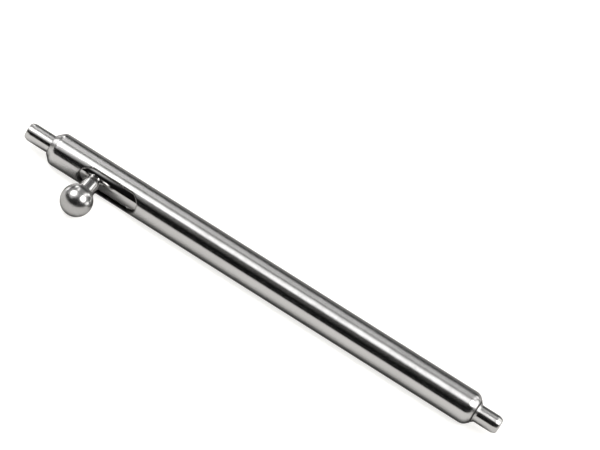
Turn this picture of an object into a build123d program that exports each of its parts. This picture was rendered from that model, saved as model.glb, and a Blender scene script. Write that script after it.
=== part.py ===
from build123d import *
from math import ceil, cos, hypot, pi, radians, sin, sqrt, tan
import os

os.makedirs("parts", exist_ok=True)

# Quick-release spring bar for a watch strap, in millimetres.
# +X runs along the tube and the origin is on its axis, half way along it.
# The release lever stands out along -Y near the -X end.

# Tube: thin wall, closed in at both ends over the pins
tube_diameter = 1.5
tube_wall = 0.15
tube_length = 20.94
crimp_angle = 45
crimp_lip = 0.015
left_crimp_round = 0.25
left_inner_round = 0.1
right_crimp_round = 0.38
right_inner_round = 0.2

# Slot for the lever, measured from the tube's -X end
slot_setback = 1.635
slot_length = 2.84
slot_width = 1.06
slot_edge_break = 0.05

# Pin tips that drop into the holes of the watch lugs, each with a slim lead-in cone
pin_diameter = 0.8
sprung_reach = 1.19
fixed_reach = 1.17
tip_lead = 0.2
tip_lead_rise = 0.07
tip_round = 0.1

# Fixed pin: a plug pressed up to the closed-in +X end, and a small cap outside it,
# with a narrow groove between the tube's lip and the cap
collar_diameter = 1.03
groove_depth = 0.06
groove_width = 0.03
cap_diameter = 0.98
cap_length = 0.09
plug_length = 1.65
fixed_fit = 0.005

# Sliding pin
mouth_clearance = 0.03
slide_clearance = 0.02
shoulder_gap = 0.01
plunger_overlap = 0.45
body_edge_break = 0.04

# Tails that keep the spring's ends central
tail_clearance = 0.04
tail_length = 0.8
tail_chamfer = 0.06

# Lever: one turned piece with a ball for the fingernail
lever_setback = 2.34
neck_diameter = 0.6
neck_rise = 0.04
lever_collar_diameter = 0.78
lever_collar_clearance = 0.18
lever_collar_length = 0.66
ball_diameter = 1.41
tool_nose = 0.04
spigot_depth = 0.33
spigot_fit = 0.005
spigot_end_gap = 0.02
lever_stop_gap = 0.02

# Coil spring
wire_diameter = 0.2
wire_flats = 6
coil_clearance = 0.06
spring_turns = 21.5
spring_seat_gap = 0.01

# Cuts run past the metal by this much
overrun = 0.5
# Half width of the band in which a corner of a profile is looked for
pick_band = 0.001
# Most of a cone's length that the rounding at its corner may take
cone_share = 0.9

tube_radius = tube_diameter / 2
bore_radius = tube_radius - tube_wall
pin_radius = pin_diameter / 2
tip_face = pin_radius - tip_lead_rise
left_end = -tube_length / 2
right_end = tube_length / 2
crimp_slope = tan(radians(crimp_angle))
crimp_shift = tube_wall / sin(radians(crimp_angle))
wire_radius = wire_diameter / 2
coil_radius = bore_radius - coil_clearance - wire_radius
tail_radius = coil_radius - wire_radius - tail_clearance


class Crimp:
    """Half profile of one closed-in end, as distances from that end of the tube."""

    def __init__(self, mouth):
        self.mouth = mouth
        self.lip = mouth + crimp_lip
        self.corner = (tube_radius - self.lip) / crimp_slope
        self.inner_start = crimp_shift - crimp_lip / crimp_slope
        self.inner_corner = self.inner_start + (bore_radius - mouth) / crimp_slope

    def inside(self, radius):
        """Distance from the tube's end at which the inner cone has this radius."""
        return self.inner_start + (radius - self.mouth) / crimp_slope


left_crimp = Crimp(pin_radius + mouth_clearance)
right_crimp = Crimp(collar_diameter / 2 + fixed_fit)


def corner_round(wanted, cone_rise):
    """Rounding of the corner above a cone, limited by how far the cone rises."""
    cone_length = cone_rise / sin(radians(crimp_angle))
    return min(wanted, cone_share * cone_length / tan(radians(crimp_angle) / 2))


def corners_at(sketch, height):
    """Corners of a profile at this distance from the axis, from -X to +X."""
    band = sketch.vertices().filter_by_position(Axis.Y, height - pick_band, height + pick_band)
    return band.sort_by(Axis.X)


def on_outside(edge):
    """True for an edge whose middle lies on the tube's outer surface."""
    middle = edge @ 0.5
    return abs(hypot(middle.Y, middle.Z) - tube_radius) < pick_band


# Tube, turned as a closed profile about its axis, then slotted from -Y
slot_start = left_end + slot_setback
slot_end = slot_start + slot_length
slot_centre = (slot_start + slot_end) / 2

with BuildPart() as tube:
    with BuildSketch(Plane.XY) as wall:
        with BuildLine():
            Polyline(
                (left_end, left_crimp.mouth),
                (left_end, left_crimp.lip),
                (left_end + left_crimp.corner, tube_radius),
                (right_end - right_crimp.corner, tube_radius),
                (right_end, right_crimp.lip),
                (right_end, right_crimp.mouth),
                (right_end - right_crimp.inner_start, right_crimp.mouth),
                (right_end - right_crimp.inner_corner, bore_radius),
                (left_end + left_crimp.inner_corner, bore_radius),
                (left_end + left_crimp.inner_start, left_crimp.mouth),
                close=True,
            )
        make_face()
        for crimp, end, outer, inner in (
            (left_crimp, 0, left_crimp_round, left_inner_round),
            (right_crimp, -1, right_crimp_round, right_inner_round),
        ):
            outer_round = corner_round(outer, tube_radius - crimp.lip)
            inner_round = corner_round(inner, bore_radius - crimp.mouth)
            fillet(corners_at(wall, tube_radius)[end], radius=outer_round)
            fillet(corners_at(wall, bore_radius)[end], radius=inner_round)
    revolve(axis=Axis.X)
    with BuildSketch(Plane.XZ):
        with Locations((slot_centre, 0)):
            SlotOverall(slot_length, slot_width)
    extrude(amount=tube_radius + overrun, mode=Mode.SUBTRACT)
    chamfer(tube.edges(Select.LAST).filter_by(on_outside), length=slot_edge_break)
tube.part.label = "tube"
export_step(tube.part, "parts/tube.step")

# Sliding pin: tip, shoulder behind the -X crimp, and a body that closes the slot from inside
body_radius = bore_radius - slide_clearance
shoulder_shift = shoulder_gap / sin(radians(crimp_angle))
shoulder_start = left_end + left_crimp.inside(pin_radius) + shoulder_shift
shoulder_end = left_end + left_crimp.inside(body_radius) + shoulder_shift
body_end = slot_end + plunger_overlap
lever_place = left_end + lever_setback
neck_radius = neck_diameter / 2
left_tip = left_end - sprung_reach

with BuildPart() as plunger_pin:
    with BuildSketch(Plane.XY) as plunger_profile:
        with BuildLine():
            Polyline(
                (left_tip, 0),
                (left_tip, tip_face),
                (left_tip + tip_lead, pin_radius),
                (shoulder_start, pin_radius),
                (shoulder_end, body_radius),
                (body_end - body_edge_break, body_radius),
                (body_end, body_radius - body_edge_break),
                (body_end, tail_radius),
                (body_end + tail_length - tail_chamfer, tail_radius),
                (body_end + tail_length, tail_radius - tail_chamfer),
                (body_end + tail_length, 0),
                close=True,
            )
        make_face()
        shoulder_round = corner_round(left_inner_round, body_radius - pin_radius)
        fillet(corners_at(plunger_profile, body_radius)[0], radius=shoulder_round)
        fillet(corners_at(plunger_profile, tip_face)[0], radius=tip_round)
    revolve(axis=Axis.X)
    with BuildSketch(Plane.XZ.offset(-spigot_depth)):
        with Locations((lever_place, 0)):
            Circle(neck_radius + spigot_fit)
    extrude(amount=spigot_depth + body_radius + overrun, mode=Mode.SUBTRACT)
plunger_pin.part.label = "plunger_pin"
export_step(plunger_pin.part, "parts/plunger_pin.step")

# Lever, turned about its own axis, which lies along Y at lever_place
ball_radius = ball_diameter / 2
lever_collar_radius = lever_collar_diameter / 2
taper_start = body_radius + neck_rise
taper_end = tube_radius + lever_collar_clearance
ball_start = taper_end + lever_collar_length
ball_place = ball_start + sqrt(ball_radius ** 2 - lever_collar_radius ** 2)
lever_plane = Plane(origin=(lever_place, 0, 0), x_dir=(1, 0, 0), z_dir=(0, 0, 1))

with BuildPart() as lever:
    with BuildSketch(lever_plane) as lever_profile:
        with BuildLine():
            outline = Polyline(
                (0, spigot_depth - spigot_end_gap),
                (neck_radius, spigot_depth - spigot_end_gap),
                (neck_radius, -taper_start),
                (lever_collar_radius, -taper_end),
                (lever_collar_radius, -ball_start),
            )
            ball = ThreePointArc(
                outline @ 1,
                (ball_radius, -ball_place),
                (0, -ball_place - ball_radius),
            )
            Line(ball @ 1, outline @ 0)
        make_face()
        junction = lever_profile.vertices().filter_by_position(
            Axis.Y, -ball_start - pick_band, -ball_start + pick_band
        )
        fillet(junction, radius=tool_nose)
    revolve(axis=Axis((lever_place, 0, 0), (0, 1, 0)))
lever.part.label = "lever"
export_step(lever.part, "parts/lever.step")

# Fixed pin: tip, cap outside the +X mouth, collar through it, and a plug behind the crimp
plug_radius = bore_radius - fixed_fit
collar_radius = collar_diameter / 2
groove_radius = collar_radius - groove_depth
cap_radius = cap_diameter / 2
cap_start = right_end + groove_width
seat_shift = fixed_fit / sin(radians(crimp_angle))
right_tip = right_end + fixed_reach
collar_start = right_end - right_crimp.inside(collar_radius) - seat_shift
plug_shoulder = right_end - right_crimp.inside(plug_radius) - seat_shift
plug_start = plug_shoulder - plug_length

with BuildPart() as fixed_pin:
    with BuildSketch(Plane.XY) as plug_profile:
        with BuildLine():
            Polyline(
                (right_tip, 0),
                (right_tip, tip_face),
                (right_tip - tip_lead, pin_radius),
                (cap_start + cap_length, pin_radius),
                (cap_start, cap_radius),
                (right_end, groove_radius),
                (collar_start, collar_radius),
                (plug_shoulder, plug_radius),
                (plug_start + body_edge_break, plug_radius),
                (plug_start, plug_radius - body_edge_break),
                (plug_start, tail_radius),
                (plug_start - tail_length + tail_chamfer, tail_radius),
                (plug_start - tail_length, tail_radius - tail_chamfer),
                (plug_start - tail_length, 0),
                close=True,
            )
        make_face()
        plug_round = corner_round(right_inner_round, plug_radius - collar_radius)
        fillet(corners_at(plug_profile, plug_radius)[-1], radius=plug_round)
        fillet(corners_at(plug_profile, tip_face)[-1], radius=tip_round)
    revolve(axis=Axis.X)
fixed_pin.part.label = "fixed_pin"
export_step(fixed_pin.part, "parts/fixed_pin.step")

# Spring: a helix from the sliding pin's body to the plug, its ends ground flat.
# The helix is followed by pairs of tangent arcs, one pair to each half turn, and
# the wire has a few flats in place of a round section.
spring_start = body_end + spring_seat_gap
spring_end = plug_start - spring_seat_gap
pitch = (spring_end - spring_start) / spring_turns
half_turns = ceil(2 * spring_turns) + 2
rise = pitch / (2 * pi)


def coil_point(half_turn):
    """Point of the helix, counted in half turns from half a turn before the spring's start."""
    turn = pi * half_turn
    return Vector(spring_start + rise * (turn - pi), coil_radius * cos(turn), coil_radius * sin(turn))


def coil_tangent(half_turn):
    turn = pi * half_turn
    return Vector(rise, -coil_radius * sin(turn), coil_radius * cos(turn)).normalized()


with BuildPart() as spring:
    with BuildLine() as coil:
        for count in range(half_turns):
            start, end = coil_point(count), coil_point(count + 1)
            leaving, arriving = coil_tangent(count), coil_tangent(count + 1)
            chord = end - start
            spread = 2 * (1 - leaving.dot(arriving))
            along = chord.dot(leaving + arriving)
            reach = (sqrt(along ** 2 + spread * chord.dot(chord)) - along) / spread
            before, after = start + leaving * reach, end - arriving * reach
            middle = (before + after) / 2
            TangentArc(start, middle, tangent=leaving)
            TangentArc(middle, end, tangent=after - before)
    with BuildSketch(Plane(origin=coil_point(0), z_dir=coil_tangent(0))):
        RegularPolygon(wire_radius, wire_flats)
    sweep()
    split(bisect_by=Plane.YZ.offset(spring_start), keep=Keep.TOP)
    split(bisect_by=Plane.YZ.offset(spring_end), keep=Keep.BOTTOM)
spring.part.label = "spring"
export_step(spring.part, "parts/spring.step")

# Free travel of the lever: from rest to the slot's far end
taper_share = (tube_radius - taper_start) / (taper_end - taper_start)
neck_in_slot = neck_radius + taper_share * (lever_collar_radius - neck_radius)
travel = slot_end - lever_place - neck_in_slot - lever_stop_gap
print("lever travel", round(travel, 3))
print("ball centre from the tube's axis", round(ball_place, 3))
samples = 40
next_turn = [coil_point(2 + count / samples) for count in range(-samples, samples + 1)]
turn_gap = min((point - coil_point(0)).length for point in next_turn) - wire_diameter
print("least gap between the spring's turns", round(turn_gap, 3))
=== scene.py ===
from math import asin, atan2, cos, hypot, pi, radians, sin, sqrt, tan

import bmesh
import bpy
from mathutils import Matrix, Vector


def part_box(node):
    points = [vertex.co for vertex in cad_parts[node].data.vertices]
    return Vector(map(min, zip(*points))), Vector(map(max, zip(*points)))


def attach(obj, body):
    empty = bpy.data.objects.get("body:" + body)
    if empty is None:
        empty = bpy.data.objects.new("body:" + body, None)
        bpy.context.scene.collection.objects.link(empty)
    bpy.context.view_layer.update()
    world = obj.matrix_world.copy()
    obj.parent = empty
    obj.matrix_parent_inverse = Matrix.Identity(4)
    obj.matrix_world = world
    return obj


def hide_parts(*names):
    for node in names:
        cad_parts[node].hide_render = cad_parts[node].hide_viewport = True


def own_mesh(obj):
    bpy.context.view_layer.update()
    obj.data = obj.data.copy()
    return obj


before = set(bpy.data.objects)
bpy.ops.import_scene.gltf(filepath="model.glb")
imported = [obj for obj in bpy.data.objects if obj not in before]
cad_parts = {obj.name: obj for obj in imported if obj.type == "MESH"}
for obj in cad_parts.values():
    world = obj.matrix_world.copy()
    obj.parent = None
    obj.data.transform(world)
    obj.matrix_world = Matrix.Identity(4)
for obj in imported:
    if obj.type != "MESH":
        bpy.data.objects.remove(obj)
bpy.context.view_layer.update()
mm = 0.001
sameSpot = 1e-8  # metres; points nearer than this are one
print("frame loaded:", len(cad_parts), "nodes")


# places that come from the frame, in mm
def nodeSpan(node):
    low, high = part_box(node)
    return low / mm, high / mm


tubeLow, tubeHigh = nodeSpan("tube")
springLow, springHigh = nodeSpan("spring")
leverLow, leverHigh = nodeSpan("lever")
plungerLow, plungerHigh = nodeSpan("plunger_pin")
plugLow, plugHigh = nodeSpan("fixed_pin")
tubeRadius = tubeHigh.y
leverPlace = (leverLow.x + leverHigh.x) / 2
ballRadius = (leverHigh.x - leverLow.x) / 2
plungerRadius = plungerHigh.y
plugRadius = plugHigh.y


# turned profiles: corner points as (along, out, rounding), joined by straight runs
def roundCorner(bm, vert, rounding, segments):
    legs = [edge.other_vert(vert).co - vert.co for edge in vert.link_edges]
    turn = pi - legs[0].angle(legs[1])
    bmesh.ops.bevel(
        bm, geom=[vert], offset=rounding * mm * tan(turn / 2), offset_type="OFFSET",
        affect="VERTICES", segments=segments, profile=0.5, material=-1,
    )


def drawProfile(bm, corners, closed, segments=5):
    bm.verts.layers.float.new("along")
    verts = [bm.verts.new((along * mm, 0, out * mm)) for along, out, rounding in corners]
    for first, second in zip(verts, verts[1:]):
        bm.edges.new((first, second))
    if closed:
        bm.edges.new((verts[-1], verts[0]))
    for vert, (along, out, rounding) in zip(verts, corners):
        if rounding:
            roundCorner(bm, vert, rounding, segments)
    return verts


# each point's way along the profile, for the map that the light's spread follows
def measureAlong(bm, start):
    along = bm.verts.layers.float["along"]
    vert, edge, reach = start, start.link_edges[0], 0.0
    while edge is not None:
        reach += edge.calc_length()
        vert = edge.other_vert(vert)
        if vert is start:
            break
        vert[along] = reach
        edge = next((other for other in vert.link_edges if other is not edge), None)


def mapTurned(bm):
    along = bm.verts.layers.float["along"]
    turned = bm.loops.layers.uv.new("turned")
    for face in bm.faces:
        middle = face.calc_center_median()
        facing = atan2(middle.z, middle.y)
        for loop in face.loops:
            place = loop.vert.co
            angle = facing
            if hypot(place.y, place.z) > sameSpot:
                angle = atan2(place.z, place.y)
                angle += 2 * pi * round((facing - angle) / (2 * pi))
            loop[turned].uv = (loop.vert[along] / mm, angle)


def turnOnLathe(bm, steps):
    bmesh.ops.spin(
        bm, geom=bm.verts[:] + bm.edges[:], cent=(0, 0, 0), axis=(1, 0, 0), dvec=(0, 0, 0),
        angle=2 * pi, steps=steps, use_merge=True,
    )
    bmesh.ops.remove_doubles(bm, verts=bm.verts, dist=sameSpot)
    bmesh.ops.rotate(
        bm, verts=bm.verts, cent=(0, 0, 0), matrix=Matrix.Rotation(pi / steps, 3, "X")
    )
    bmesh.ops.recalc_face_normals(bm, faces=bm.faces)
    mapTurned(bm)


def makePiece(name, bm, *materials):
    mesh = bpy.data.meshes.new(name)
    bm.to_mesh(mesh)
    bm.free()
    for material in materials:
        mesh.materials.append(material)
    piece = bpy.data.objects.new(name, mesh)
    bpy.context.scene.collection.objects.link(piece)
    return piece


def cutAway(piece, cutter):
    cut = piece.modifiers.new("cut", "BOOLEAN")
    cut.operation = "DIFFERENCE"
    cut.solver = "EXACT"
    cut.object = cutter
    bpy.context.view_layer.update()
    ready = piece.evaluated_get(bpy.context.evaluated_depsgraph_get())
    mesh = bpy.data.meshes.new_from_object(ready)
    piece.modifiers.clear()
    piece.data = mesh
    bpy.data.objects.remove(cutter)


def finishPiece(piece, body, nodes, crease=32, normalWeight=60):
    mesh = piece.data
    mesh.polygons.foreach_set("use_smooth", [True] * len(mesh.polygons))
    mesh.set_sharp_from_angle(angle=radians(crease))
    weighted = piece.modifiers.new("weighted normals", "WEIGHTED_NORMAL")
    weighted.keep_sharp = True
    weighted.weight = normalWeight
    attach(piece, body)
    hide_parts(*nodes)
    print(piece.name, len(mesh.polygons), "faces")
    return piece


# finishes
def finishNodes(name):
    material = bpy.data.materials.new(name)
    material.use_nodes = True
    tree = material.node_tree
    shader = tree.nodes["Principled BSDF"]
    return material, tree, shader


def millimetres(tree, centre=(0, 0, 0), stretch=(1, 1, 1)):
    coordinates = tree.nodes.new("ShaderNodeTexCoord")
    mapping = tree.nodes.new("ShaderNodeMapping")
    mapping.inputs["Scale"].default_value = [share / mm for share in stretch]
    mapping.inputs["Location"].default_value = [
        -place * share for place, share in zip(centre, stretch)
    ]
    tree.links.new(coordinates.outputs["Object"], mapping.inputs["Vector"])
    return mapping.outputs["Vector"]


def noiseValue(tree, vector, scale, detail=2.0, roughness=0.5):
    noise = tree.nodes.new("ShaderNodeTexNoise")
    noise.inputs["Scale"].default_value = scale
    noise.inputs["Detail"].default_value = detail
    noise.inputs["Roughness"].default_value = roughness
    tree.links.new(vector, noise.inputs["Vector"])
    return noise.outputs["Fac"]


def between(tree, value, low, high, fromLow=0.3, fromHigh=0.7):
    spread = tree.nodes.new("ShaderNodeMapRange")
    spread.inputs["From Min"].default_value = fromLow
    spread.inputs["From Max"].default_value = fromHigh
    spread.inputs["To Min"].default_value = low
    spread.inputs["To Max"].default_value = high
    tree.links.new(value, spread.inputs["Value"])
    return spread.outputs["Result"]


def calculate(tree, operation, *values):
    node = tree.nodes.new("ShaderNodeMath")
    node.operation = operation
    for socket, value in zip(node.inputs, values):
        if isinstance(value, (int, float)):
            socket.default_value = value
        else:
            tree.links.new(value, socket)
    return node.outputs["Value"]


# what all the steels share: the marks' stretch round the axis, the noise of marks and smears,
# their part in the polish, and the marks' height in mm
marking = dict(
    stretch=0.02, detail=3.0, markRoughness=0.6, smearRoughness=0.55, markShare=0.5,
    polishSpread=(0.4, 0.62), height=0.001,
)


def steel(name, look, centre=(0, 0, 0), lathe="X"):
    material, tree, shader = finishNodes(name)
    shader.inputs["Metallic"].default_value = 1.0
    shader.inputs["Anisotropic"].default_value = look["anisotropic"]
    stretch = marking["stretch"]
    across = (1, stretch, stretch) if lathe == "X" else (stretch, 1, stretch)

    # slow drift of tone over the polish
    plain = millimetres(tree, centre)
    tone = between(tree, noiseValue(tree, plain, look["toneScale"]), 0, 1)
    mix = tree.nodes.new("ShaderNodeMix")
    mix.data_type = "RGBA"
    tree.links.new(tone, mix.inputs["Factor"])
    mix.inputs["A"].default_value = (*look["darkTone"], 1)
    mix.inputs["B"].default_value = (*look["lightTone"], 1)
    tree.links.new(mix.outputs["Result"], shader.inputs["Base Color"])

    # polish marks run round the axis, so they vary along it
    turned = millimetres(tree, centre, across)
    detail, share = marking["detail"], marking["markShare"]
    marks = noiseValue(tree, turned, look["markScale"], detail, marking["markRoughness"])
    smears = noiseValue(tree, plain, look["smearScale"], detail, marking["smearRoughness"])
    smearPart = calculate(tree, "MULTIPLY", smears, 1 - share)
    wear = calculate(tree, "MULTIPLY_ADD", marks, share, smearPart)
    rough = between(tree, wear, look["smooth"], look["rough"], *marking["polishSpread"])
    tree.links.new(rough, shader.inputs["Roughness"])

    bump = tree.nodes.new("ShaderNodeBump")
    bump.inputs["Strength"].default_value = look["markDepth"]
    bump.inputs["Distance"].default_value = marking["height"] * mm
    tree.links.new(marks, bump.inputs["Height"])
    tree.links.new(bump.outputs["Normal"], shader.inputs["Normal"])

    # light spreads along the profile, across the polish marks
    if look["anisotropic"] > 0:
        grain = tree.nodes.new("ShaderNodeTangent")
        grain.direction_type = "UV_MAP"
        grain.uv_map = "turned"
        tree.links.new(grain.outputs["Tangent"], shader.inputs["Tangent"])
    return material


tubeSteelLook = dict(
    darkTone=(0.6, 0.592, 0.585), lightTone=(0.65, 0.642, 0.635), toneScale=0.35,
    markScale=24, smearScale=1.4, markDepth=0.06, smooth=0.21, rough=0.245, anisotropic=1.0,
)
pinSteelLook = dict(
    darkTone=(0.6, 0.592, 0.58), lightTone=(0.65, 0.64, 0.63), toneScale=0.6,
    markScale=30, smearScale=2.0, markDepth=0.06, smooth=0.2, rough=0.235, anisotropic=1.0,
)
bodySteelLook = dict(
    darkTone=(0.58, 0.575, 0.565), lightTone=(0.63, 0.62, 0.61), toneScale=0.6,
    markScale=26, smearScale=2.0, markDepth=0.05, smooth=0.05, rough=0.09, anisotropic=0.4,
)
leverSteelLook = dict(
    darkTone=(0.47, 0.462, 0.455), lightTone=(0.51, 0.502, 0.495), toneScale=0.7,
    markScale=26, smearScale=1.6, markDepth=0.05, smooth=0.22, rough=0.26, anisotropic=0.0,
)
milledSteelLook = dict(
    darkTone=(0.5, 0.49, 0.48), lightTone=(0.6, 0.59, 0.58), toneScale=4.0,
    markScale=14, smearScale=3.0, markDepth=0.08, smooth=0.2, rough=0.28, anisotropic=0.0,
)
# unpolished steel, made darker than bare steel as painted shade for the seams, the slot's walls and
# the tube's insides
dullShadedSteelLook = dict(
    darkTone=(0.16, 0.155, 0.15), lightTone=(0.24, 0.235, 0.23), toneScale=3.0,
    markScale=12, smearScale=3.0, markDepth=0.1, smooth=0.36, rough=0.46, anisotropic=0.0,
)
springWireLook = dict(
    darkTone=(0.46, 0.455, 0.44), lightTone=(0.52, 0.51, 0.5), toneScale=1.2,
    markScale=12, smearScale=3.0, markDepth=0.2, smooth=0.24, rough=0.36, anisotropic=0.0,
)


# tube: closed profile turned about X, then slotted from -Y
tube = dict(
    wall=0.15, lip=0.015, lean=45, steps=256, roundSteps=10,
    leftMouth=0.445, leftRound=0.25, leftInnerRound=0.1,
    rightMouth=0.52, rightRound=0.38, rightInnerRound=0.2,
    slotSetback=1.635, slotLength=2.84, slotWidth=1.06, slotSteps=160,
    # the lips of the closed-in ends, out to dullShadedLip, and the slot's walls take the unpolished
    # steel that also carries painted shade
    edgeWide=0.065, edgeDeep=0.035, edgeSteps=5, lipRound=0.012, dullShadedLip=0.03, overrun=0.5,
)


# corners of a closed-in end, from the bore round its lip to the straight wall outside
def crimpPoints(end, inward, mouth, outerRound, innerRound):
    bore = tubeRadius - tube["wall"]
    slope = tan(radians(tube["lean"]))
    shift = tube["wall"] / sin(radians(tube["lean"]))
    lip = mouth + tube["lip"]
    outer = (tubeRadius - lip) / slope
    innerStart = shift - tube["lip"] / slope
    inner = innerStart + (bore - mouth) / slope
    edge = tube["lipRound"]
    return [
        (end + inward * inner, bore, innerRound),
        (end + inward * innerStart, mouth, edge),
        (end, mouth, edge / 2),
        (end, lip, edge / 2),
        (end + inward * tube["dullShadedLip"], lip + tube["dullShadedLip"] * slope, 0),
        (end + inward * outer, tubeRadius, outerRound),
    ]


def slotOutline(bm, grow):
    width = tube["slotWidth"] / 2 + grow
    half = (tube["slotLength"] - tube["slotWidth"]) / 2
    middle = tubeLow.x + tube["slotSetback"] + tube["slotLength"] / 2
    ring = bmesh.ops.create_circle(bm, segments=tube["slotSteps"], radius=width * mm)["verts"]
    bmesh.ops.rotate(bm, verts=ring, cent=(0, 0, 0), matrix=Matrix.Rotation(pi / 2, 3, "X"))
    for vert in ring:
        if abs(vert.co.x) > sameSpot:
            vert.co.x += half * mm * (1 if vert.co.x > 0 else -1)
        vert.co.x += middle * mm
    return ring


# rings of the cutter, from its flat end on the axis, out along the wall, round the broken
# edge and on past the metal; depth is how far under the tube's surface a ring lies
def cutterRings():
    wide, deep, steps = tube["edgeWide"], tube["edgeDeep"], tube["edgeSteps"]
    yield 0, None
    for step in range(steps + 1):
        turn = pi / 2 * step / steps
        yield wide * (1 - cos(turn)), deep * (1 - sin(turn))
    yield wide, -tube["overrun"]


def makeSlotCutter():
    bm = bmesh.new()
    rings = []
    for grow, depth in cutterRings():
        ring = slotOutline(bm, grow)
        if depth is not None:
            for vert in ring:
                vert.co.y = -sqrt(((tubeRadius - depth) * mm) ** 2 - vert.co.z ** 2)
        rings.append(ring)
    for level, (lower, upper) in enumerate(zip(rings, rings[1:])):
        for count in range(tube["slotSteps"]):
            face = bm.faces.new((lower[count - 1], lower[count], upper[count], upper[count - 1]))
            # the slot's walls take the unpolished steel with painted shade inside the slot; its
            # broken edge takes the milled steel
            face.material_index = 2 if level == 0 else 1
    bm.faces.new(rings[0])
    bm.faces.new(rings[-1])
    bmesh.ops.recalc_face_normals(bm, faces=bm.faces)
    return makePiece("slot_cutter", bm)


# the polish misses the faces that look at the axis and the lips of the closed-in ends; these take
# the unpolished steel, which is darkened further as painted shade in these recesses
def staysDullAndShaded(face):
    middle = face.calc_center_median()
    inward = face.normal.y * middle.y + face.normal.z * middle.z < 0
    return inward or abs(middle.x) > (tubeHigh.x - tube["dullShadedLip"]) * mm


def makeTube(polished, milled, dullShaded):
    bm = bmesh.new()
    left = crimpPoints(tubeLow.x, 1, tube["leftMouth"], tube["leftRound"], tube["leftInnerRound"])
    right = crimpPoints(
        tubeHigh.x, -1, tube["rightMouth"], tube["rightRound"], tube["rightInnerRound"],
    )
    start = (0, tubeRadius - tube["wall"], 0)
    corners = [start] + left + right[::-1]
    verts = drawProfile(bm, corners, closed=True, segments=tube["roundSteps"])
    measureAlong(bm, verts[0])
    turnOnLathe(bm, tube["steps"])
    for face in bm.faces:
        if staysDullAndShaded(face):
            face.material_index = 2
    piece = makePiece("tube_shell", bm, polished, milled, dullShaded)
    cutAway(piece, makeSlotCutter())
    return finishPiece(piece, "root", ["tube"])


# pins: turned about X, with the tip, the seat behind the closed-in end, and a tail for the spring
pins = dict(
    tipRadius=0.4, tipLead=0.2, tipRise=0.07, tipRound=0.1, leadRound=0.04, tipBack=0.3, steps=192,
    shoulderGap=0.01, shoulderRound=0.1, fixedFit=0.005, plugRound=0.2, bodyChamfer=0.04,
    tailRadius=0.3, tailLength=0.8, tailChamfer=0.06,
    collarRadius=0.515, grooveRadius=0.455, grooveWidth=0.04, dullShadedReach=0.035,
    capRadius=0.49, capLength=0.09, edgeRound=0.025,
    neckHole=0.305, neckDepth=0.33, holeSteps=96, cutterLength=2,
)


# how far in from the tube's end the inside of its cone has this radius
def coneInside(mouth, radius):
    slope = tan(radians(tube["lean"]))
    start = tube["wall"] / sin(radians(tube["lean"])) - tube["lip"] / slope
    return start + (radius - mouth) / slope


def makePlunger(polished, milled, body):
    shift = pins["shoulderGap"] / sin(radians(tube["lean"]))
    tip = plungerLow.x
    neck = tubeLow.x + coneInside(tube["leftMouth"], pins["tipRadius"]) + shift
    shoulder = tubeLow.x + coneInside(tube["leftMouth"], plungerRadius) + shift
    bodyEnd = plungerHigh.x - pins["tailLength"]
    bm = bmesh.new()
    verts = drawProfile(bm, [
        (tip, 0, 0),
        (tip, pins["tipRadius"] - pins["tipRise"], pins["tipRound"]),
        (tip + pins["tipLead"], pins["tipRadius"], pins["leadRound"]),
        (neck, pins["tipRadius"], 0),
        (shoulder, plungerRadius, pins["shoulderRound"]),
        (bodyEnd - pins["bodyChamfer"], plungerRadius, 0),
        (bodyEnd, plungerRadius - pins["bodyChamfer"], 0),
        (bodyEnd, pins["tailRadius"], 0),
        (plungerHigh.x - pins["tailChamfer"], pins["tailRadius"], 0),
        (plungerHigh.x, pins["tailRadius"] - pins["tailChamfer"], 0),
        (plungerHigh.x, 0, 0),
    ], closed=False)
    measureAlong(bm, verts[0])
    turnOnLathe(bm, pins["steps"])
    for face in bm.faces:
        if face.calc_center_median().x > (tubeLow.x + pins["tipBack"]) * mm:
            face.material_index = 2
    piece = makePiece("sprung_pin", bm, polished, milled, body)
    hole = bmesh.new()
    middle = (leverPlace * mm, (pins["neckDepth"] - pins["cutterLength"] / 2) * mm, 0)
    bmesh.ops.create_cone(
        hole, cap_ends=True, segments=pins["holeSteps"], depth=pins["cutterLength"] * mm,
        radius1=pins["neckHole"] * mm, radius2=pins["neckHole"] * mm,
        matrix=Matrix.Translation(middle) @ Matrix.Rotation(pi / 2, 4, "X"),
    )
    for face in hole.faces:
        face.material_index = 1
    cutAway(piece, makePiece("neck_cutter", hole))
    return finishPiece(piece, "plunger", ["plunger_pin"])


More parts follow.
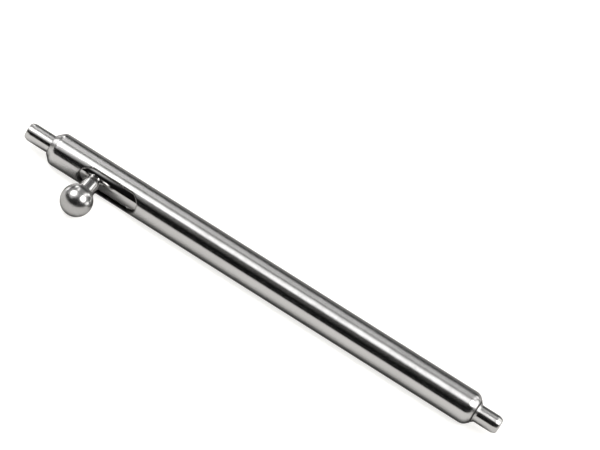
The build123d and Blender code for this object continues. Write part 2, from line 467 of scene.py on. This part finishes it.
def makeFixedPin(polished, dullShaded):
    edge = pins["edgeRound"]
    shift = pins["fixedFit"] / sin(radians(tube["lean"]))
    tip = plugHigh.x
    end = tubeHigh.x
    plugStart = plugLow.x + pins["tailLength"]
    capStart = end + pins["grooveWidth"]
    collarStart = end - coneInside(tube["rightMouth"], pins["collarRadius"]) - shift
    shoulder = end - coneInside(tube["rightMouth"], plugRadius) - shift
    bm = bmesh.new()
    verts = drawProfile(bm, [
        (tip, 0, 0),
        (tip, pins["tipRadius"] - pins["tipRise"], pins["tipRound"]),
        (tip - pins["tipLead"], pins["tipRadius"], pins["leadRound"]),
        (capStart + pins["capLength"], pins["tipRadius"], edge),
        (capStart, pins["capRadius"], edge / 2),
        (end, pins["grooveRadius"], 0),
        (collarStart, pins["collarRadius"], 0),
        (shoulder, plugRadius, pins["plugRound"]),
        (plugStart + pins["bodyChamfer"], plugRadius, 0),
        (plugStart, plugRadius - pins["bodyChamfer"], 0),
        (plugStart, pins["tailRadius"], 0),
        (plugLow.x + pins["tailChamfer"], pins["tailRadius"], 0),
        (plugLow.x, pins["tailRadius"] - pins["tailChamfer"], 0),
        (plugLow.x, 0, 0),
    ], closed=False)
    measureAlong(bm, verts[0])
    turnOnLathe(bm, pins["steps"])
    # the groove behind the cap, and all in from it, take the unpolished steel: painted shade in the
    # seam at the tube's end
    for face in bm.faces:
        if face.calc_center_median().x < (capStart + pins["dullShadedReach"]) * mm:
            face.material_index = 1
    piece = makePiece("fixed_tip_pin", bm, polished, dullShaded)
    return finishPiece(piece, "root", ["fixed_pin"])


# lever: turned about its own axis, then laid along -Y
lever = dict(
    neckRadius=0.3, neckRise=0.04, taperRound=0.3, footGap=0.02,
    collarRadius=0.39, collarClearance=0.18, collarLength=0.66, dullShadedReach=0.045,
    noseRound=0.02, noseSteps=4, ballSteps=96, steps=192,
)


def makeLever(polished, dullShaded):
    paintedFootShade = -(pins["neckDepth"] - lever["footGap"])
    taperStart = plungerRadius + lever["neckRise"]
    taperEnd = tubeRadius + lever["collarClearance"]
    ballStart = taperEnd + lever["collarLength"]
    ballPlace = ballStart + sqrt(ballRadius ** 2 - lever["collarRadius"] ** 2)
    bm = bmesh.new()
    verts = drawProfile(bm, [
        (paintedFootShade, 0, 0),
        (paintedFootShade, lever["neckRadius"], 0),
        (taperStart, lever["neckRadius"], lever["taperRound"]),
        (taperEnd, lever["collarRadius"], lever["taperRound"]),
        (ballStart - lever["dullShadedReach"], lever["collarRadius"], 0),
        (ballStart, lever["collarRadius"], 0),
    ], closed=False)
    ballArc = pi - asin(lever["collarRadius"] / ballRadius)
    bmesh.ops.spin(
        bm, geom=[verts[-1]], cent=(ballPlace * mm, 0, 0), axis=(0, 1, 0), dvec=(0, 0, 0),
        angle=ballArc, steps=lever["ballSteps"], use_merge=False,
    )
    roundCorner(bm, verts[-1], lever["noseRound"], lever["noseSteps"])
    measureAlong(bm, verts[0])
    turnOnLathe(bm, lever["steps"])
    # a band of the collar just above the ball takes the unpolished steel: a painted shade ring
    # where collar meets ball
    for face in bm.faces:
        if abs(face.calc_center_median().x - ballStart * mm) < lever["dullShadedReach"] * mm:
            face.material_index = 1
    bmesh.ops.rotate(bm, verts=bm.verts, cent=(0, 0, 0), matrix=Matrix.Rotation(-pi / 2, 3, "Z"))
    bmesh.ops.translate(bm, verts=bm.verts, vec=(leverPlace * mm, 0, 0))
    piece = makePiece("lever_with_ball", bm, polished, dullShaded)
    return finishPiece(piece, "plunger", ["lever"])


# spring: a wire ring carried round and along the axis, half a turn too far at each end, and
# then cut square
spring = dict(
    wireRadius=0.1, coilRadius=0.44, turns=21.5, stepsPerTurn=48, wireSteps=12, crease=40,
)


def makeSpring(material):
    length = springHigh.x - springLow.x
    pitch = length / spring["turns"]
    turns = spring["turns"] + 1
    steps = int(turns * spring["stepsPerTurn"])
    bm = bmesh.new()
    ring = bmesh.ops.create_circle(
        bm, segments=spring["wireSteps"], radius=spring["wireRadius"] * mm,
    )["verts"]
    climb = pitch / (2 * pi * spring["coilRadius"])
    bmesh.ops.rotate(bm, verts=ring, cent=(0, 0, 0), matrix=Matrix.Rotation(climb, 3, "Y"))
    bmesh.ops.translate(
        bm, verts=ring, vec=((springLow.x - pitch / 2) * mm, spring["coilRadius"] * mm, 0),
    )
    bmesh.ops.spin(
        bm, geom=bm.verts[:] + bm.edges[:], cent=(0, 0, 0), axis=(1, 0, 0),
        dvec=(pitch * turns / steps * mm, 0, 0), angle=2 * pi * turns, steps=steps, use_merge=False,
    )
    for place, side in ((springLow.x, -1), (springHigh.x, 1)):
        bmesh.ops.bisect_plane(
            bm, geom=bm.verts[:] + bm.edges[:] + bm.faces[:], plane_co=(place * mm, 0, 0),
            plane_no=(side, 0, 0), clear_outer=True,
        )
        bmesh.ops.holes_fill(bm, edges=[edge for edge in bm.edges if edge.is_boundary], sides=0)
    bmesh.ops.recalc_face_normals(bm, faces=bm.faces)
    piece = makePiece("coil_spring", bm, material)
    piece.data.polygons.foreach_set("use_smooth", [True] * len(piece.data.polygons))
    piece.data.set_sharp_from_angle(angle=radians(spring["crease"]))
    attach(piece, "root")
    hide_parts("spring")
    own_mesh(piece)
    print(piece.name, len(piece.data.polygons), "faces")


tubeSteel = steel("tube_steel_polish", tubeSteelLook)
pinSteel = steel("pin_steel_polish", pinSteelLook)
leverSteel = steel("lever_steel_polish", leverSteelLook, centre=(leverPlace, 0, 0), lathe="Y")
bodySteel = steel("pin_body_polish", bodySteelLook)
milledSteel = steel("milled_steel", milledSteelLook)
dullShadedSteel = steel("dull_steel_with_painted_shade", dullShadedSteelLook)
springWire = steel("spring_wire_drawn", springWireLook)
makeTube(tubeSteel, milledSteel, dullShadedSteel)
makePlunger(pinSteel, milledSteel, bodySteel)
makeFixedPin(pinSteel, dullShadedSteel)
makeLever(leverSteel, dullShadedSteel)
makeSpring(springWire)
print("pieces made")


# studio: white floor and a grey tent that is dark on the camera's side. A soft panel hangs
# overhead to each side, the left one with a faint skirt in front. A dim strip runs back from each
# panel, and a short streak behind it is for the lever's neck. Near the bar a small card at each
# end lights that end's cone, and a sheer veil softens the left end. Reaches and distances are in
# mm. Places in the tent are (angle, along): angle in degrees from the horizon on the camera's
# side (-Y) over the top, along as a share of X
studio = dict(
    floorSize=3000, floorTone=0.5, warmth=(1, 0.99, 0.965), cameraLift=0.8, glossyLift=0.22,
    # contactReach to rearEnds and rearLevel set painted shade and a painted shadow in the floor's
    # reflected colour, where the bar meets the floor and behind it
    contactReach=3.0, contactOpen=(0.55, 0.79), contactLevel=0.16, contactSamples=8,
    rearReach=(0.3, 3.0), rearEnds=(10.5, 14.0), rearLevel=0.35,
    frontReach=(-45.0, -12.0), frontLevel=0.02, farReach=(60.0, 400.0),
    panelDistance=350, panelSteps=(16, 6),
)
panels = dict(
    leftPanel=dict(angles=(51, 106), along=(-0.86, -0.3), glow=6.8, edge=(0.36, 0.28)),
    rightPanel=dict(angles=(53, 109), along=(0.3, 0.86), glow=9.2, edge=(0.36, 0.28)),
    leftSkirt=dict(angles=(26, 64), along=(-0.84, -0.36), glow=0.8, edge=(0.5, 0.4)),
    leftStrip=dict(angles=(96, 144), along=(-0.5, -0.2), glow=2.5, edge=(0.25, 0.45)),
    rightStrip=dict(angles=(96, 144), along=(0.27, 0.61), glow=2.9, edge=(0.25, 0.45)),
    leftStreak=dict(angles=(134, 162), along=(-0.62, -0.42), glow=4.4, edge=(0.3, 0.3)),
    rightStreak=dict(angles=(134, 162), along=(0.36, 0.58), glow=4.4, edge=(0.3, 0.3)),
    leftVeil=dict(
        angles=(28, 88), along=(-0.88, 0.26), glow=1.15, edge=(0.5, 0.2),
        place=(-10.4, 0, 0.4), distance=9, sheer=True,
    ),
    leftCard=dict(
        angles=(138, 204), along=(-0.995, -0.84), glow=2.4, edge=(0.1, 0.15),
        place=(-10.4, 0, 0.4), distance=12,
    ),
    rightCard=dict(
        angles=(60, 168), along=(0.66, 0.975), glow=2.4, edge=(0.1, 0.1),
        place=(10.3, 0, 0.4), distance=15,
    ),
)
# the tent's grey at each angle
tentStops = (
    (0, 0.006), (44, 0.008), (58, 0.1), (66, 0.3), (104, 0.28), (114, 0.4), (128, 0.4), (142, 0.1),
    (158, 0.06), (168, 0.2), (180, 0.28),
)


def smoothBetween(tree, value, fromLow, fromHigh, low, high):
    result = between(tree, value, low, high, fromLow, fromHigh)
    result.node.interpolation_type = "SMOOTHSTEP"
    return result


# the floor is white to the camera, and whiter far off, so that its edge doesn't show; in
# reflections its colour carries painted shade: a painted contact shade where the bar meets the
# floor and a painted shadow behind the bar, and it darkens in front, towards the camera
def makeFloor():
    bm = bmesh.new()
    bmesh.ops.create_grid(bm, x_segments=1, y_segments=1, size=studio["floorSize"] / 2 * mm)
    bmesh.ops.translate(bm, verts=bm.verts, vec=(0, 0, -tubeRadius * mm))
    material, tree, shader = finishNodes("white_floor")
    tree.nodes.remove(shader)
    path = tree.nodes.new("ShaderNodeLightPath")
    camera, glossy = path.outputs["Is Camera Ray"], path.outputs["Is Glossy Ray"]
    contact = tree.nodes.new("ShaderNodeAmbientOcclusion")
    contact.samples = studio["contactSamples"]
    contact.inputs["Distance"].default_value = studio["contactReach"] * mm
    openness = contact.outputs["AO"]
    # painted contact shade: the floor's reflected colour darkens where the bar closes it in
    paintedFootShade = smoothBetween(tree, openness, *studio["contactOpen"], studio["contactLevel"], 1)
    place = millimetres(tree)
    split = tree.nodes.new("ShaderNodeSeparateXYZ")
    tree.links.new(place, split.inputs["Vector"])
    # painted shadow behind the bar, fading out past the bar's ends
    paintedRearShadow = smoothBetween(tree, split.outputs["Y"], *studio["rearReach"], 1, studio["rearLevel"])
    sideways = calculate(tree, "ABSOLUTE", split.outputs["X"])
    beyond = smoothBetween(tree, sideways, *studio["rearEnds"], 0, 1)
    paintedRearShadow = calculate(tree, "MAXIMUM", paintedRearShadow, beyond)
    front = smoothBetween(tree, split.outputs["Y"], *studio["frontReach"], studio["frontLevel"], 1)
    shade = calculate(tree, "MULTIPLY", calculate(tree, "MULTIPLY", paintedFootShade, paintedRearShadow), front)

    tint = tree.nodes.new("ShaderNodeMix")
    tint.data_type = "RGBA"
    tint.inputs["A"].default_value = (0, 0, 0, 1)
    tint.inputs["B"].default_value = [studio["floorTone"] * part for part in studio["warmth"]] + [1]
    tree.links.new(calculate(tree, "MAXIMUM", shade, camera), tint.inputs["Factor"])
    matt = tree.nodes.new("ShaderNodeBsdfDiffuse")
    tree.links.new(tint.outputs["Result"], matt.inputs["Color"])
    apart = tree.nodes.new("ShaderNodeVectorMath")
    apart.operation = "LENGTH"
    tree.links.new(place, apart.inputs[0])
    lift = smoothBetween(tree, apart.outputs["Value"], *studio["farReach"], studio["cameraLift"], 1)
    seen = calculate(tree, "MULTIPLY", camera, lift)
    mirrored = calculate(tree, "MULTIPLY", glossy, shade)
    mirrored = calculate(tree, "MULTIPLY", mirrored, studio["glossyLift"])
    glow = tree.nodes.new("ShaderNodeEmission")
    glow.inputs["Color"].default_value = (*studio["warmth"], 1)
    tree.links.new(calculate(tree, "ADD", seen, mirrored), glow.inputs["Strength"])
    both = tree.nodes.new("ShaderNodeAddShader")
    tree.links.new(matt.outputs["BSDF"], both.inputs[0])
    tree.links.new(glow.outputs["Emission"], both.inputs[1])
    tree.links.new(both.outputs["Shader"], tree.nodes["Material Output"].inputs["Surface"])
    makePiece("floor", bm, material)


def tentPoint(angle, along):
    side = sqrt(1 - along ** 2)
    return Vector((along, -cos(radians(angle)) * side, sin(radians(angle)) * side))


# a panel follows the tent's curve, about the origin or its own place; its glow fades towards
# its edges, and a sheer one lets what is behind it through
def makePanel(name, panel):
    bm = bmesh.new()
    flat = bm.loops.layers.uv.new("panel")
    down, across = studio["panelSteps"]
    bmesh.ops.create_grid(bm, x_segments=down, y_segments=across, size=0.5)
    for face in bm.faces:
        for loop in face.loops:
            loop[flat].uv = (loop.vert.co.x + 0.5, loop.vert.co.y + 0.5)
    reach = panel.get("distance", studio["panelDistance"])
    place = Vector(panel.get("place", (0, 0, 0)))
    spans = (panel["angles"], panel["along"])
    for vert in bm.verts:
        shares = (vert.co.x + 0.5, vert.co.y + 0.5)
        spot = [low + (high - low) * share for share, (low, high) in zip(shares, spans)]
        vert.co = (tentPoint(*spot) * reach + place) * mm
    material, tree, shader = finishNodes(name)
    tree.nodes.remove(shader)
    flatMap = tree.nodes.new("ShaderNodeUVMap")
    flatMap.uv_map = "panel"
    split = tree.nodes.new("ShaderNodeSeparateXYZ")
    tree.links.new(flatMap.outputs["UV"], split.inputs["Vector"])
    strength = panel["glow"]
    for share, edge in zip(("X", "Y"), panel["edge"]):
        inward = calculate(tree, "PINGPONG", split.outputs[share], 0.5)
        strength = calculate(tree, "MULTIPLY", smoothBetween(tree, inward, 0, edge, 0, 1), strength)
    glow = tree.nodes.new("ShaderNodeEmission")
    tree.links.new(strength, glow.inputs["Strength"])
    surface = glow.outputs["Emission"]
    if panel.get("sheer"):
        both = tree.nodes.new("ShaderNodeAddShader")
        through = tree.nodes.new("ShaderNodeBsdfTransparent")
        tree.links.new(surface, both.inputs[0])
        tree.links.new(through.outputs["BSDF"], both.inputs[1])
        surface = both.outputs["Shader"]
    tree.links.new(surface, tree.nodes["Material Output"].inputs["Surface"])
    piece = makePiece(name, bm, material)
    piece.visible_camera = False


# the tent lights the bar and shows in it; the camera sees white in its place
def makeWorld():
    world = bpy.data.worlds.new("tent")
    world.use_nodes = True
    bpy.context.scene.world = world
    tree = world.node_tree
    direction = tree.nodes.new("ShaderNodeTexCoord")
    split = tree.nodes.new("ShaderNodeSeparateXYZ")
    tree.links.new(direction.outputs["Generated"], split.inputs["Vector"])
    forward = calculate(tree, "MULTIPLY", split.outputs["Y"], -1)
    angle = calculate(tree, "ARCTAN2", split.outputs["Z"], forward)
    ramp = tree.nodes.new("ShaderNodeValToRGB")
    stops = ramp.color_ramp.elements
    while len(stops) < len(tentStops):
        stops.new(0.5)
    for stop, (place, level) in zip(stops, tentStops):
        stop.position = place / 180
        stop.color = (level, level, level, 1)
    tree.links.new(calculate(tree, "DIVIDE", angle, pi), ramp.inputs["Fac"])
    path = tree.nodes.new("ShaderNodeLightPath")
    mix = tree.nodes.new("ShaderNodeMix")
    mix.data_type = "RGBA"
    tree.links.new(path.outputs["Is Camera Ray"], mix.inputs["Factor"])
    tree.links.new(ramp.outputs["Color"], mix.inputs["A"])
    mix.inputs["B"].default_value = (1, 1, 1, 1)
    tree.links.new(mix.outputs["Result"], tree.nodes["Background"].inputs["Color"])


makeFloor()
makeWorld()
for name, panel in panels.items():
    makePanel(name, panel)
print("studio ready")


# camera: turned and raised round the bar, then rolled so that the bar falls to the right;
# distance, aim and clip in mm
cameraSet = dict(
    azimuth=8.0, elevation=39.6, roll=27.05, distance=332.5, lens=480, aimRight=1.532, aimUp=2.195,
    clip=(10, 20000),
)


def makeCamera():
    turn, lift, roll = (radians(cameraSet[key]) for key in ("azimuth", "elevation", "roll"))
    back = Vector((sin(turn) * cos(lift), -cos(turn) * cos(lift), sin(lift)))
    level = Vector((cos(turn), sin(turn), 0))
    up = back.cross(level)
    right = level * cos(roll) + up * sin(roll)
    over = up * cos(roll) - level * sin(roll)
    data = bpy.data.cameras.new("camera")
    data.lens = cameraSet["lens"]
    data.clip_start, data.clip_end = (end * mm for end in cameraSet["clip"])
    camera = bpy.data.objects.new("camera", data)
    place = back * cameraSet["distance"] + right * cameraSet["aimRight"] + over * cameraSet["aimUp"]
    turned = Matrix((right, over, back)).transposed().to_4x4()
    camera.matrix_world = Matrix.Translation(place * mm) @ turned
    bpy.context.scene.collection.objects.link(camera)
    bpy.context.scene.camera = camera


makeCamera()
bpy.context.scene.view_settings.view_transform = "Standard"
print("camera set")
